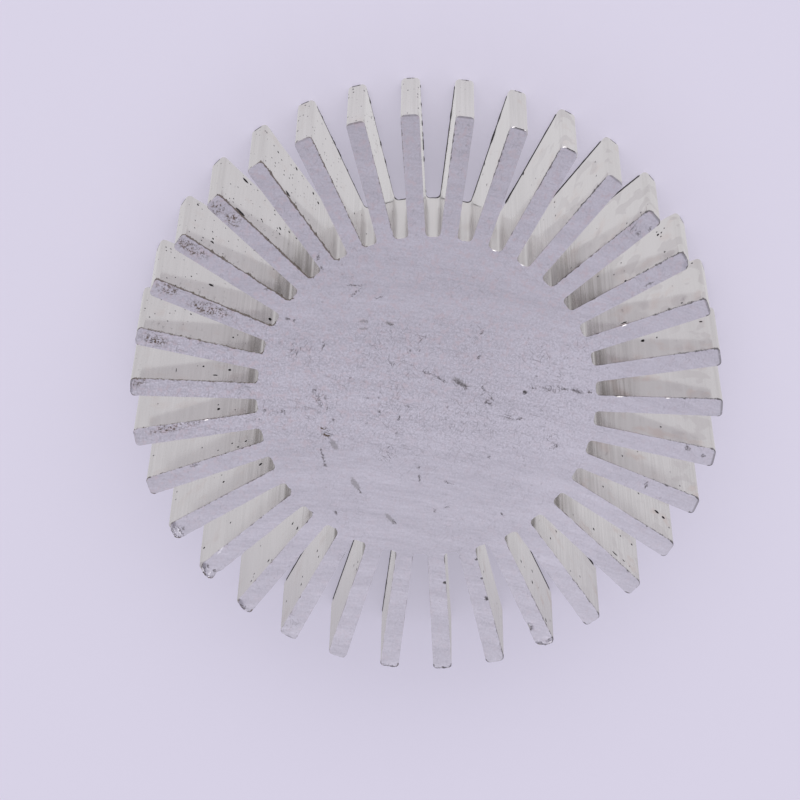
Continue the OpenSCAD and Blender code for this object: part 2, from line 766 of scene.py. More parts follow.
    def root_band(self) -> np.ndarray:
        """Draws the painted shade along each slot floor, a band that differs from flank to flank.

        A narrow band ends sharply at a random distance from the floor, and a faint one fades out
        between two and four times that distance.

        Returns:
            Strength of the band at each rim point.
        """
        rng = np.random.default_rng(self.seed + 2)
        fin, reach = self.face.rim_fin, self.reach
        flank = 2 * fin + self.on(Edge.ANTICLOCKWISE)
        count = 2 * (fin.max() + 1)
        left, right = self.upper_side()
        dark = np.isin(fin, self.dark_roots) & (left | right)
        pale = np.isin(fin - self.on(Edge.CLOCKWISE), self.pale_slots)
        # The painted shade is weaker in the slots that light falls into and stronger on the lowest fins
        lit = [self.fins(6, 10), self.fins(4, 12), self.fins(21, 31)]
        width = rng.uniform(*self.band_widths, count)[flank]
        strength = rng.uniform(*self.band_strengths, count)[flank] * np.select(lit, self.lit_shares, 1.0)
        strength *= np.select([dark, pale], self.dark_and_pale_shares, 1.0)
        band = strength * np.clip((self.core_r + width - reach) / self.band_fade + 0.5, 0, 1)
        wide = np.clip((self.core_r + 4 * width - reach) / (2 * width), 0, 1)
        wide *= np.select([dark, pale], [0.55, 0.0], 0.15)
        crown = 0.1 * (reach > self.crown_from)
        return np.where(self.on(Edge.FLOOR), 0.05, np.maximum(np.maximum(band, wide), crown))

    def front_line(self) -> np.ndarray:
        """Spreads a dark line along the upper end's edges, mostly on the left fins' upper sides.

        Returns:
            Strength of the line at each rim point.
        """
        fin, reach = self.face.rim_fin, self.reach
        left, right = self.upper_side()
        brown = np.zeros(fin.max() + 1)
        brown[self.first_brown_fin:self.first_brown_fin + len(self.brown_fins)] = self.brown_fins
        black = np.isin(fin, self.black_tips) | ~self.fins(5, 26)
        crown = np.where(black, self.black_crown_darkness, self.crown_darkness) * (reach > self.crown_from)
        dashes = np.select([fin >= 27, fin <= 4], [0.88, 0.92], 1.0)
        dashes = (0.5 + 0.45 * rise(reach, 20, 6)) * dashes
        upper = np.maximum(brown[fin] * left, dashes * right)
        clean = (self.fins(5, 10) & (reach > self.crown_from)) | self.bevels()
        return np.where(clean, self.clean_darkness, np.maximum(np.maximum(upper, crown), self.least_darkness))

    def rear_burr(self) -> np.ndarray:
        """Finds the dark burrs of the lower end, mostly beside the top slots.

        Returns:
            Which rim points have one.
        """
        clockwise, anticlockwise = self.on(Edge.CLOCKWISE), self.on(Edge.ANTICLOCKWISE)
        burred = self.fins(4, 9) & anticlockwise & (self.fins(7, 9) | (self.reach > self.burr_from))
        burred |= self.fins(7, 9) & self.on(Edge.FLOOR)
        burred |= (self.fins(23, 25) & clockwise) | (self.fins(28, 29) & anticlockwise)
        return burred & (self.reach < self.wall_to)

    def rear_dots(self) -> np.ndarray:
        """Which rim points have a broken row of dark burrs at the lower end."""
        return self.fins(9, 11) & self.on(Edge.CLOCKWISE) & (self.reach < self.wall_to)

    def rear_line(self) -> np.ndarray:
        """Draws a dark line along the lower end's edges, strongest on its burrs.

        Returns:
            Strength of the line at each rim point.
        """
        crown = self.on(Edge.CROWN) & self.fins(0, 17)
        crown_line = np.where(self.fins(5, 9), 0.75, 0.9)
        burr_line = np.where(self.fins(23, 25), 0.85, 1.0)
        return np.select([self.rear_burr(), self.rear_dots(), crown], [burr_line, 0.85, crown_line], 0.5)


@dataclass
class HeatSink:
    """The slice of bar as one closed mesh."""

    length: float
    section: BarSection
    edge_depths: tuple[float, ...] = (0.0, 0.04, 0.09, 0.2, 0.7)
    edge_shares: tuple[float, ...] = (1.0, 0.42, 0.1, 0.0, 0.0)
    middle_levels: int = 2
    sharp_angle: float = 25.0
    dents: tuple[Dent, ...] = (
        Dent(20, (29.9, -0.9, 12.4), (-0.15, 0.1, -0.35), 0.8),
        Dent(21, (29.9, -0.9, 12.4), (-0.2, 0.15, -0.4), 0.8),
        Dent(21, (28.8, 0.9, 12.4), (0.0, -0.12, -0.15), 0.5),
        Dent(22, (30.0, -0.8, 12.4), (-0.1, 0.1, -0.25), 0.7),
        Dent(28, (27.3, -0.9, 12.4), (0.0, 0.25, -0.2), 0.5),
        Dent(28, (29.9, -0.8, 12.4), (-0.15, 0.2, -0.3), 0.7),
        Dent(3, (29.9, -0.7, 12.4), (-0.12, 0.1, -0.1), 0.6),
    )
    battered: tuple[BatteredTip, ...] = (
        BatteredTip(20, 0.13), BatteredTip(21, 0.13), BatteredTip(22, 0.06), BatteredTip(23, 0.03),
        BatteredTip(25, 0.08, 0.4), BatteredTip(26, 0.09, 0.4), BatteredTip(28, 0.12),
        BatteredTip(17, 0.05),
    )

    def levels(self) -> tuple[np.ndarray, np.ndarray, np.ndarray]:
        """Spaces the rings of points down the wall.

        Returns:
            The rings' heights, and each ring's share of the upper and of the lower end's insets.
        """
        depths = np.array(self.edge_depths)
        shares = np.array(self.edge_shares)
        middle = np.linspace(self.length - depths[-1], depths[-1], self.middle_levels + 2)[1:-1]
        heights = np.concatenate([self.length - depths, middle, depths[::-1]])
        blank = np.zeros(len(heights) - len(shares))
        return heights, np.concatenate([shares, blank]), np.concatenate([blank, shares[::-1]])

    def build(self) -> bpy.types.Object:
        """Makes the mesh: two end faces with rings of wall points between their rims.

        A ring is the outline drawn in along its normal by the ring's shares of the two ends' insets,
        less the ripple. The dents and battered tips then move the points.

        Returns:
            The object, at the origin, with its place in its mesh.
        """
        end = EndFace(self.section)
        wear = EdgeWear(end, self.section.core_r)
        outline = end.points[end.rim]
        step = np.roll(outline, -1, axis=0) - np.roll(outline, 1, axis=0)
        normal = np.stack([step[:, 1], -step[:, 0]], axis=1)
        normal /= np.linalg.norm(normal, axis=1, keepdims=True)
        heights, upper_share, lower_share = self.levels()
        upper, lower = wear.insets()
        draw = upper_share[:, None] * upper + lower_share[:, None] * lower - wear.ripple()
        rings = outline - draw[..., None] * normal
        walls = np.concatenate([rings, np.broadcast_to(heights[:, None, None], (*draw.shape, 1))], axis=-1)
        caps = []
        for ring, height in ((walls[0], self.length), (walls[-1], 0.0)):
            cap = np.column_stack([end.points, np.full(len(end.points), height)])
            cap[end.rim] = ring
            caps.append(cap)
        count = len(end.points)
        points = np.vstack([*caps, walls[1:-1].reshape(-1, 3)])
        points = points + sum(dent.shift(points, self.section.pitch) for dent in self.dents)
        points = points + sum(tip.shift(points, self.section, self.length) for tip in self.battered)
        ring_ids = 2 * count + np.arange((len(heights) - 2) * len(outline)).reshape(len(heights) - 2, -1)
        wall_ids = np.vstack([end.rim, ring_ids, end.rim + count])
        above, below = wall_ids[:-1], wall_ids[1:]
        sides = np.stack([above, below, np.roll(below, -1, axis=1), np.roll(above, -1, axis=1)], axis=-1)
        quads = np.vstack([end.quads, end.quads[:, ::-1] + count, sides.reshape(-1, 4)])
        mesh = bpy.data.meshes.new(NODE)
        mesh.from_pydata((points * MM).tolist(), [], quads.tolist())
        on_wall = np.arange(len(quads)) >= 2 * len(end.quads)
        mesh.polygons.foreach_set("material_index", on_wall.astype(np.int32))
        run = np.append(0, np.cumsum(np.linalg.norm(np.roll(outline, -1, axis=0) - outline, axis=1)))
        self.unwrap(mesh, points[quads.ravel(), :2].reshape(-1, 4, 2), run, heights)
        self.store(mesh, "root_band", wall_ids, wear.root_band())
        self.store(mesh, "front_line", wall_ids, wear.front_line())
        self.store(mesh, "rear_line", wall_ids, wear.rear_line())
        mesh.polygons.foreach_set("use_smooth", np.ones(len(quads), bool))
        mesh.set_sharp_from_angle(angle=math.radians(self.sharp_angle))
        mesh.update()
        LOG.info("slice: %d points, %d quads, clean %s", len(points), len(quads), not mesh.validate())
        return placed("heat_sink_slice", mesh)

    @staticmethod
    def store(mesh: bpy.types.Mesh, name: str, wall_ids: np.ndarray, values: np.ndarray) -> None:
        """Stores a number for each rim point on all the wall points in line with it, and 0 elsewhere.

        Args:
            mesh: mesh of the slice.
            name: name to store the numbers under.
            wall_ids: numbers of the wall points, by ring and rim point.
            values: the numbers.
        """
        full = np.zeros(len(mesh.vertices), np.float32)
        full[wall_ids] = values
        mesh.attributes.new(name, "FLOAT", "POINT").data.foreach_set("value", full)

    @staticmethod
    def unwrap(mesh: bpy.types.Mesh, corners: np.ndarray, run: np.ndarray, heights: np.ndarray) -> None:
        """Lays out the map that the die lines follow: the run along the outline, and the height.

        Args:
            mesh: mesh of the slice, whose last quads are the wall's, ring by ring.
            corners: X and Y of each quad's corners, which the ends keep as their map.
            run: run along the outline to each rim point, and back to the first.
            heights: heights of the rings.
        """
        rows, cols = len(heights) - 1, len(run) - 1
        left, right = np.tile(run[:-1], rows), np.tile(run[1:], rows)
        high, low = np.repeat(heights[:-1], cols), np.repeat(heights[1:], cols)
        corners[-rows * cols:, :, 0] = np.stack([left, left, right, right], axis=1)
        corners[-rows * cols:, :, 1] = np.stack([high, low, low, high], axis=1)
        layer = mesh.uv_layers.new(name="flank_run")
        layer.uv.foreach_set("vector", corners.astype(np.float32).ravel())


@dataclass
class MarkBoard:
    """Place on the upper sawn end, with a turned copy for each direction that marks lie in."""

    bench: NodeBench
    place: Wire
    face_height: float
    copies: dict[int, Wire] = field(default_factory=dict)

    def turned(self, turn: int) -> Wire:
        """Turns the place back, once for all the marks that lie in a direction.

        Args:
            turn: the direction, in degrees.

        Returns:
            The turned place, as a plain vector.
        """
        if turn not in self.copies:
            swung = self.bench.mapped(self.place, turn, (1, 1, 1))
            self.copies[turn] = self.bench.vector("ADD", swung, (0, 0, 0))
        return self.copies[turn]


@dataclass(frozen=True)
class Mark:
    """One mark on the sawn end, of wear, dirt, painted shade or painted highlight, an ellipse that lies
    along a direction in degrees.
    """

    x: float
    y: float
    length: float
    width: float
    turn: int = 0
    tall: float = 0.8

    @classmethod
    def on_fin(cls, fin: int, out: float, across: float, length: float, width: float,
               turn: int = 90) -> "Mark":
        """Places a mark on a fin.

        Args:
            fin: number of the fin.
            out: distance from the axis along the fin.
            across: distance across the fin, from its middle.
            length: length of the mark.
            width: width of the mark.
            turn: direction of the mark, from the fin's own.

        Returns:
            The mark, in a direction that other marks share.
        """
        angle = fin * 2 * math.pi / BarSection.fin_count
        place = Matrix.Rotation(angle, 2) @ Vector((out, across))
        lie = TURN_STEP * round((math.degrees(angle) + turn) / TURN_STEP)
        return cls(place.x, place.y, length, width, (lie + 90) % 180 - 90)

    def mask(self, board: MarkBoard, kind: MarkKind) -> Wire:
        """Draws the mark.

        Args:
            board: place on the upper end.
            kind: kind of the mark, which gives the crispness of its outline.

        Returns:
            Share of the mark at each place.
        """
        back = Matrix.Rotation(math.radians(-self.turn), 3, "Z")
        centre = back @ Vector((self.x, self.y, board.face_height))
        half = Vector((self.length, self.width, self.tall)) / 2
        return board.bench.ellipse(board.turned(self.turn), centre, half, kind.value)


@dataclass(frozen=True)
class Speck:
    """A black speck on a fin's wall, at a distance from the axis and a height, taller than wide."""

    out: float
    up: float
    size: float
    stretch: float = 1.0
    tallness: float = 2.2
    fullness: float = 0.36
    crispness: float = 4.0

    def mask(self, bench: NodeBench, flank_map: Wire, run: float) -> Wire:
        """Share of the speck at each place of the map of the wall, with the run to its middle."""
        half = self.fullness * self.size * Vector((self.stretch, self.tallness, 1.0))
        return bench.ellipse(flank_map, Vector((run, self.up, 0.0)), half, self.crispness)


def joined(masks: Iterator[Wire]) -> Wire:
    """Joins masks one by one, so that few values are held at a time.

    Args:
        masks: the masks, at least one.

    Returns:
        The largest of them at each place.
    """
    joint = next(masks)
    for mask in masks:
        joint = joint.most(mask)
    return joint


# Marks on the upper end, as in Mark: X, Y, length, width and direction
FACE_MARKS: dict[MarkKind, Rows] = {
    MarkKind.DIRT: (
        (-7.7, 11.7, 2.0, 0.18), (-7.5, 11.0, 2.4, 0.15, 45), (-5.2, 10.5, 1.1, 0.17, 15),
        (-3.9, 7.7, 0.8, 0.2, -15), (-10.6, 5.1, 1.1, 0.2, 75), (-11.4, 14.5, 0.7, 0.26, 75),
        (-11.0, 13.4, 0.6, 0.24, -60), (-14.2, 7.9, 0.7, 0.3, -15), (-13.6, 7.7, 0.6, 0.3, 60),
        (-11.4, 0.3, 0.6, 0.34, 30), (-11.0, -0.6, 0.8, 0.3, 60), (-10.7, -1.3, 0.6, 0.3, -60),
        (-10.2, -0.4, 0.6, 0.34, 45), (-10.0, -1.6, 0.6, 0.24, 75), (-14.5, -2.1, 0.6, 0.4, 45),
        (-16.3, -2.0, 0.45, 0.4), (-4.7, -1.7, 0.36, 0.36), (-9.3, -2.8, 0.4, 0.4),
        (0.0, 2.6, 1.7, 0.22, -15), (1.4, 2.0, 1.9, 0.22, -30), (3.3, 1.65, 1.8, 0.46, -30),
        (3.9, 1.25, 0.7, 0.5, -30), (5.7, 1.1, 0.9, 0.28, -45), (6.1, -0.2, 0.8, 0.26, 60),
        (6.6, 0.1, 0.9, 0.24, -30), (6.4, -0.5, 0.7, 0.34, -30), (5.1, 4.5, 0.6, 0.26, 45),
        (5.3, 7.2, 0.6, 0.36, 75), (12.1, 1.4, 1.9, 0.3, -15), (13.9, 1.4, 0.9, 0.34, -15),
        (15.1, 1.25, 1.6, 0.4, -15), (16.4, 1.2, 0.5, 0.34, -30), (10.8, 1.4, 0.7, 0.24, -30),
        (-10.3, -6.8, 2.2, 0.24, -75), (-10.05, -7.7, 0.45, 0.45), (-0.5, -7.7, 0.36, 0.36),
        (-0.4, -8.8, 0.9, 0.17, 90), (-8.8, -12.9, 0.7, 0.2, -75), (-2.7, -2.4, 0.7, 0.22, 75),
        (8.2, -1.9, 1.8, 0.18, -15), (9.4, -2.0, 0.8, 0.24, 15), (13.4, -4.8, 0.9, 0.28, 45),
        (6.6, -6.2, 0.36, 0.3), (1.3, -12.3, 0.5, 0.28, 60), (2.5, -11.9, 0.7, 0.22, 15),
        (8.2, -12.5, 0.6, 0.22, -45), (2.6, -9.2, 1.4, 0.18, -15), (22.7, -8.7, 1.0, 0.3, 75),
        (26.7, -4.5, 0.9, 0.5, -45), (28.3, -5.3, 0.5, 0.4), (21.9, 13.0, 1.3, 0.24, 30),
        (-23.3, -8.3, 1.3, 0.3, 15), (-28.0, 5.0, 0.4, 0.4), (11.6, -24.9, 0.7, 0.5, -60),
        (12.8, -26.8, 0.8, 0.4), (-16.5, 11.0, 0.4, 0.4), (-6.4, -10.5, 0.7, 0.2, -60),
        (-2.75, -13.75, 0.8, 0.2, -45),
    ),
    MarkKind.STAIN: (
        (-10.4, -3.8, 0.7, 0.36, -30), (-10.0, -4.5, 1.1, 0.36, -15), (9.9, 0.9, 0.55, 0.5),
        (-15.7, 7.7, 0.7, 0.5, 30), (-19.4, 19.0, 2.4, 0.34, -45),
    ),
    MarkKind.SMUDGE: (
        (-6.6, 7.9, 1.1, 0.36), (-6.6, 7.1, 0.9, 0.3), (-9.2, -5.5, 1.5, 0.7, -60),
        (-6.9, -9.7, 2.0, 0.62, -60), (-3.2, -13.4, 1.8, 0.52, -45), (3.3, 1.75, 1.9, 0.7, -30),
        (-4.0, 7.8, 1.2, 0.5, -15),
    ),
    MarkKind.SPECKLE: (
        (-21.5, 19.3, 2.0, 1.8, -45), (-20.0, 18.2, 2.2, 1.8, -45), (-24.1, 15.0, 4.6, 1.6, -30),
        (-26.4, 10.6, 3.0, 1.5, -15), (-22.2, 8.6, 5.4, 1.7, -15), (-27.6, 5.2, 3.4, 1.4, -15),
        (-29.3, 0.7, 2.2, 1.8), (-25.5, -4.2, 6.5, 1.0, 15), (-14.9, 23.0, 2.4, 1.5, -60),
    ),
    MarkKind.SCUFF: (
        (0.3, 2.5, 4.2, 1.8, -15), (6.3, 0.2, 2.0, 2.0), (13.0, 1.4, 8.0, 1.2),
        (-10.8, -0.8, 2.6, 3.4), (-10.1, -4.2, 2.6, 2.6), (-0.8, 6.4, 2.6, 1.6, -15),
        (-3.6, 3.4, 2.6, 1.6), (-14.5, -2.1, 1.6, 1.4), (-3.8, -6.3, 4.6, 2.4, 30),
        (8.6, -1.8, 4.0, 1.4, -15), (11.4, 4.6, 2.2, 1.6), (12.8, -4.4, 3.0, 3.0),
        (-13.5, 4.6, 3.4, 3.0), (-12.9, -25.2, 2.2, 2.0), (20.2, 18.7, 3.0, 1.8, 45),
    ),
}

# Marks near the fin tips, as in Mark.on_fin: fin, place out and across, length, width and direction. The
# dark and bright marks on the crumpled tips are painted shade and painted highlight on their facets, with
# some dirt and scratches
TIP_MARKS: dict[MarkKind, Rows] = {
    # Dark marks: dirt, and painted shade on the facets of the crumpled tips
    MarkKind.DIRT: (
        (4, 27.4, -0.3, 0.5, 0.4), (4, 28.6, -0.7, 0.9, 0.2, 30), (20, 29.8, 0.0, 1.3, 0.16),
        (20, 29.45, -0.4, 1.0, 0.14), (20, 29.1, 0.3, 1.6, 0.16), (20, 28.7, 0.2, 0.5, 0.3),
        (21, 29.6, -0.7, 1.0, 0.6), (21, 29.1, -0.3, 0.6, 0.3, 30), (21, 28.9, 0.5, 0.5, 0.3),
        (22, 29.8, -0.1, 1.4, 0.3), (25, 29.9, 0.0, 1.8, 0.14), (26, 29.9, 0.0, 1.8, 0.14),
        (28, 29.8, -0.6, 0.5, 0.4), (28, 27.4, -0.8, 0.5, 0.4, 30), (28, 29.5, 0.3, 1.0, 0.14),
    ),
    MarkKind.STAIN: (
        (26, 20.4, 0.8, 0.4, 0.4), (27, 22.9, 0.8, 0.55, 0.45), (27, 18.4, 0.75, 0.4, 0.36),
        (27, 20.6, 0.8, 0.36, 0.3),
    ),
    # Painted highlights on the facets of the crumpled tips, and bright scratches
    MarkKind.BRIGHT: (
        (20, 29.62, -0.1, 1.2, 0.14), (20, 29.28, 0.2, 1.4, 0.18), (21, 29.3, -0.2, 0.9, 0.16),
        (21, 29.5, 0.4, 0.8, 0.2, 30), (21, 26.9, -0.8, 1.4, 0.16, 15), (28, 29.3, -0.4, 0.8, 0.18, 45),
        (28, 27.2, -0.6, 0.4, 0.3),
    ),
}

# Specks on the fins' walls, by side and fin, as in Speck: distance out, height, size, stretch, tallness
FLANK_SPECKS: dict[Edge, dict[int, Rows]] = {
    Edge.CLOCKWISE: {
        10: ((27.4, 3.5, 0.44), (23.6, 1.1, 0.4)),
        11: ((19.6, 8.2, 0.36),),
        12: ((24.5, 1.1, 0.5), (27.6, 3.5, 0.36), (25.5, 11.7, 0.6, 2.0), (21.5, 1.6, 0.46),
             (20.6, 2.4, 0.46)),
        13: ((26.8, 1.4, 0.54, 2.2), (27.0, 11.9, 0.6, 3.4), (21.7, 6.0, 0.46), (20.5, 4.5, 0.36),
             (21.7, 7.7, 0.36), (24.2, 8.4, 0.3)),
        14: ((26.6, 8.5, 0.34), (26.6, 9.6, 0.4, 1.6), (28.8, 1.4, 0.4)),
        15: ((24.2, 7.8, 0.46, 1.8), (17.6, 10.7, 0.6)),
        16: ((20.3, 9.4, 0.3), (24.9, 5.3, 0.3)),
        17: ((22.8, 8.2, 0.34), (20.1, 8.9, 0.42), (21.5, 10.6, 0.42, 2.0, 1.2),
             (25.5, 9.6, 0.16, 0.8, 12.0)),
        18: ((21.3, 9.9, 0.46),),
        19: ((20.7, 10.1, 0.3), (20.0, 11.7, 0.3), (19.2, 10.7, 0.34)),
        20: ((23.5, 8.4, 0.36), (19.1, 8.9, 0.4, 1.6)),
        21: ((29.3, 8.3, 0.36), (25.8, 6.9, 0.3)),
        22: ((24.6, 11.0, 0.34, 1.6), (24.0, 11.9, 0.24), (19.9, 11.1, 0.5), (20.8, 8.1, 0.36),
             (27.4, 11.3, 0.28, 1.5), (27.0, 10.1, 0.24)),
        23: ((22.0, 7.4, 0.4), (21.6, 9.8, 0.3), (25.4, 9.3, 0.36), (25.2, 7.6, 0.3)),
        24: ((20.6, 11.4, 0.42), (20.2, 10.2, 0.36), (21.6, 8.0, 0.36)),
    },
    Edge.ANTICLOCKWISE: {
        1: ((22.4, 7.1, 0.54), (28.5, 4.0, 0.3, 1.8)),
        2: ((21.4, 11.8, 0.24, 4.0), (29.1, 0.9, 0.28), (27.5, 11.6, 0.28, 1.6)),
        3: ((23.5, 12.2, 0.42), (27.6, 3.8, 0.4), (28.0, 3.7, 0.3), (27.9, 4.8, 0.28),
            (27.5, 2.8, 0.26), (28.35, 2.9, 0.24), (28.1, 9.9, 0.3)),
        6: ((22.2, 0.6, 0.5),),
        7: ((22.3, 8.9, 0.36), (21.8, 0.8, 0.46)),
        27: ((21.1, 9.6, 0.4),),
        28: ((21.7, 8.9, 0.4), (24.6, 5.2, 0.4), (24.5, 8.4, 0.5), (27.8, 11.4, 0.5)),
        29: ((21.0, 9.2, 0.36), (22.2, 4.9, 0.36)),
        30: ((23.2, 9.4, 0.4), (27.3, 4.2, 0.3), (26.2, 10.9, 0.28, 4.0), (27.5, 10.6, 0.26, 1.6),
             (29.0, 3.7, 0.36)),
        31: ((28.0, 6.5, 0.46, 1.7), (28.8, 7.0, 0.42, 1.5)),
    },
}


def marks_of(kind: MarkKind) -> list[Mark]:
    """All the marks of one kind, on the core and on the fins."""
    on_fins = [Mark.on_fin(*row) for row in TIP_MARKS.get(kind, ())]
    return [Mark(*row) for row in FACE_MARKS.get(kind, ())] + on_fins


@dataclass(frozen=True)
class Grain:
    """A noise pattern, with the levels between which it turns into a mask if it is to be one."""

    scale: float
    detail: float = 2.0
    roughness: float = 0.5
    levels: Span | None = None

    def on(self, vector: Wire) -> Wire:
        """The pattern over a vector."""
        noise = vector.bench.noise(vector, self.scale, self.detail, self.roughness)
        return noise.ramp(*self.levels) if self.levels else noise


@dataclass(frozen=True)
class DrawnGrain:
    """A noise pattern that is drawn out: its lumps to a millimetre along a first and a second value."""

    first: float
    second: float
    detail: float = 2.0
    roughness: float = 0.5
    levels: Span | None = None

    def on(self, first: Wire, second: Wire | float, third: Wire | float = 0.0) -> Wire:
        """The pattern over two values, with a third that is taken as it is."""
        vector = first.bench.join(first * self.first, second * self.second, third)
        return Grain(1.0, self.detail, self.roughness, self.levels).on(vector)


@dataclass(frozen=True)
class SawnFinish:
    """Satin end left by the saw, with its arcs, scratches and dirt, and painted shade and highlight on the
    crumpled tips.
    """

    tint: Colour = (0.56, 0.545, 0.60)
    deep: Colour = (0.435, 0.423, 0.465)
    rosy: Colour = (0.52, 0.465, 0.50)
    # Colour of dirt, also used for the painted shade on the crumpled tips
    dirt: Colour = (0.13, 0.12, 0.125)
    brown: Colour = (0.10, 0.072, 0.048)
    black: Colour = (0.07, 0.066, 0.066)
    smudge: Colour = (0.30, 0.29, 0.30)
    highlight_and_scratch: Colour = (0.80, 0.79, 0.82)
    saw_centre: Triple = (-12.0, -110.0, 0.0)
    saw_lines: DrawnGrain = DrawnGrain(4.5, 0.45, 3.0, 0.65)
    saw_bands: DrawnGrain = DrawnGrain(0.7, 0.06)
    skin: Grain = Grain(4.6, 3.0, 0.85)
    flush: Grain = Grain(1.2, 4.0, 0.8, (0.48, 0.68))
    patches: Grain = Grain(0.17, 2.0, 0.5, (0.35, 0.6))
    pits: Grain = Grain(2.6, 2.0, 0.7, (0.62, 0.76))
    curls: Grain = Grain(1.5)
    curled: Grain = Grain(1.1, 2.0, 0.5, (0.5, 0.6))
    scratch: Grain = Grain(1.0, 1.0, 0.5, (0.64, 0.76))
    scratch_families: tuple[Triple, ...] = (
        (-14, 1.4, 0.15), (52, 0.9, 0.13), (-48, 1.0, 0.13), (84, 0.8, 0.13),
    )
    breaks: Grain = Grain(5.5, 3.0, 0.7, (0.42, 0.54))
    speckles: Grain = Grain(3.4, 4.0, 0.85, (0.5, 0.58))
    edge_breaks: Grain = Grain(2.2, 4.0, 0.75)
    curl_width: float = 0.025
    edge_levels: Span = (0.72, 0.92)
    bump_depth: float = 0.01
    bump_strength: float = 0.3

    def scratches(self, place: Wire, turn: float, length: float, width: float) -> Wire:
        """Mask of short scratches in one direction."""
        drawn_out = place.bench.mapped(place, turn, (length, width, 1))
        return self.scratch.on(drawn_out)

    def material(self, face_height: float) -> bpy.types.Material:
        """Makes the material.

        Args:
            face_height: height of the end that the marks lie on.

        Returns:
            The material.
        """
        made, bench = new_material("sawn_end")
        place = bench.place()
        x, y, z = (bench.axis(place, name) for name in "XYZ")
        # Saw arcs and grain, more worn across the middle
        saw = bench.length(bench.flat(bench.vector("SUBTRACT", place, self.saw_centre)))
        fine = self.saw_lines.on(saw, x, z)
        band = self.saw_bands.on(saw, x, z)
        grain = self.skin.on(place)
        upper = y.ramp(-8.0, 6.0)
        middle = bench.math("ABSOLUTE", y - 1.0).ramp(10.0, 3.0)
        right = x.ramp(5.0, 15.0)
        short_of_right = x.ramp(20.0, 15.0)
        worn = 0.48 + 0.16 * upper + 0.7 * middle * short_of_right
        tone = 0.9 * (fine - 0.5) + 0.6 * (band - 0.5) + 3.4 * (grain - 0.5) * worn + 0.15 * right
        colour = bench.blend(0.5 + tone, self.deep, self.tint)
        upper_left = (y - 0.5 * x).ramp(-6.0, 5.0)
        colour = bench.blend(self.flush.on(place) * (0.3 + 0.7 * upper_left), colour, self.rosy)
        # Faint wear all over
        patchy = self.patches.on(place)
        pits = self.pits.on(place)
        dots = bench.spots(bench.ragged(place, 3.0, 0.2), scale=1.0, radius=0.16, share=0.25)
        curl = bench.math("ABSOLUTE", self.curls.on(place) - 0.5).ramp(self.curl_width, 0.0)
        scratch = joined(self.scratches(place, *family) for family in self.scratch_families)
        curl = curl * pits.most(self.curled.on(place))
        faint = (0.45 * dots).most(0.3 * scratch).most(0.28 * pits).most(0.36 * curl)
        faint = faint * worn * (0.3 + 0.7 * patchy)
        # Single marks
        ragged = bench.ragged(place, 5.0, 0.3)
        board = MarkBoard(bench, ragged, face_height)
        marks = {kind: joined(m.mask(board, kind) for m in marks_of(kind)) for kind in MarkKind}
        scuffed = marks[MarkKind.SCUFF] * (0.75 * scratch).most(0.4 * pits).most(0.8 * curl)
        grains = bench.spots(ragged, scale=3.4, radius=0.5, share=0.5).most(self.speckles.on(place))
        stain = marks[MarkKind.STAIN].most(marks[MarkKind.SPECKLE] * grains)
        # Dark marks: dirt, and painted shade on the crumpled tips
        dark_marks = marks[MarkKind.DIRT] * (0.22 + 0.63 * self.breaks.on(place))
        # Dark lines along the edges, and one around the upper right tips
        along = self.edge_breaks.on(place)
        rim = (bench.attribute("front_line") + 1.8 * (along - 0.5)).ramp(*self.edge_levels)
        tip_line = bench.length(bench.flat(place)).ramp(29.72, 29.86)
        upper_right = (x + y).ramp(8.0, 20.0)
        dashed = (along - 0.2).ramp(0.1, 0.25)
        rim = rim.most(0.55 * (tip_line * upper_right * dashed))
        colour = bench.blend(marks[MarkKind.SMUDGE] * 0.75, colour, self.smudge)
        colour = bench.blend(dark_marks.most(faint).most(scuffed), colour, self.dirt)
        # Painted highlights on the crumpled tips, and bright scratches
        colour = bench.blend(marks[MarkKind.BRIGHT] * 0.9, colour, self.highlight_and_scratch)
        edge_colour = bench.blend(x.ramp(*BLACK_SIDE), self.brown, self.black)
        colour = bench.blend((0.95 * stain).most(0.8 * rim), colour, edge_colour)
        soiled = dark_marks.most(stain).most(rim)
        roughness = 0.46 - 0.1 * tone + 0.2 * soiled
        normal = bench.bump(0.6 * fine + 0.4 * band + grain, self.bump_depth, self.bump_strength)
        bench.metal(colour, roughness, 1 - 0.9 * soiled, normal)
        return made


